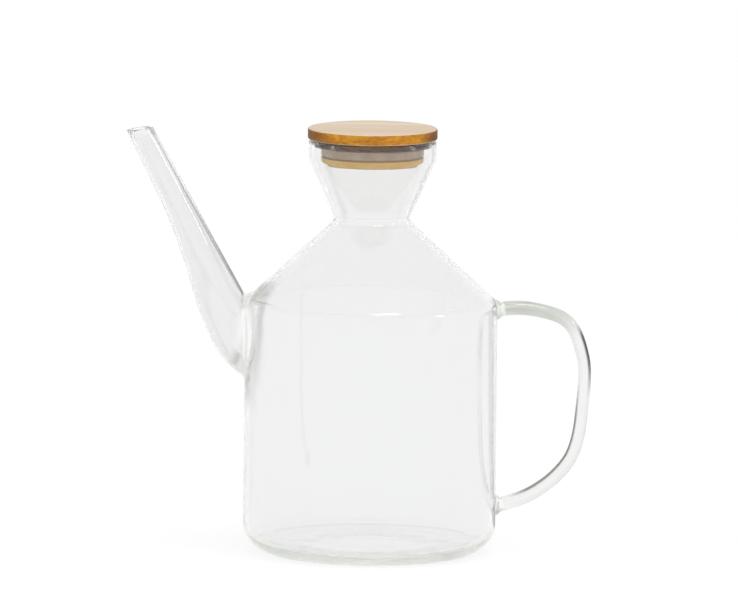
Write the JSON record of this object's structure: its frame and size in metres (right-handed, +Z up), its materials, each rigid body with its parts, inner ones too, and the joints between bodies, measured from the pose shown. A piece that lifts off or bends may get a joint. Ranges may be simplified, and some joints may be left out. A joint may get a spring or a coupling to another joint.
{
  "type": "glass oil bottle with long spout and bamboo lid",
  "caption": "Clear glass oil bottle: straight-walled body under a cone shoulder, pinched neck, long tapering spout, solid rod handle and a bamboo stopper lid with a silicone ring.",
  "frame": {"origin": "on the body's axis, in the plane of the foot ring that the bottle stands on", "axes": "+Z up along the body's axis, +X from the spout towards the handle, +Y away from a viewer who has the spout at the left and the handle at the right"},
  "size_m": [0.203, 0.11, 0.1862],
  "materials": {
    "clear_glass": "clear blown borosilicate glass, fire-polished, faintly green where it is thick",
    "bamboo": "sanded laminated bamboo, thinly oiled, darker honey end grain round the edge",
    "grey_silicone": "translucent warm grey silicone, satin"
  },
  "bodies": {
    "root": {"glass_bottle": "clear_glass", "bamboo_lid": "bamboo", "silicone_ring": "grey_silicone"}
  },
  "joints": []
}
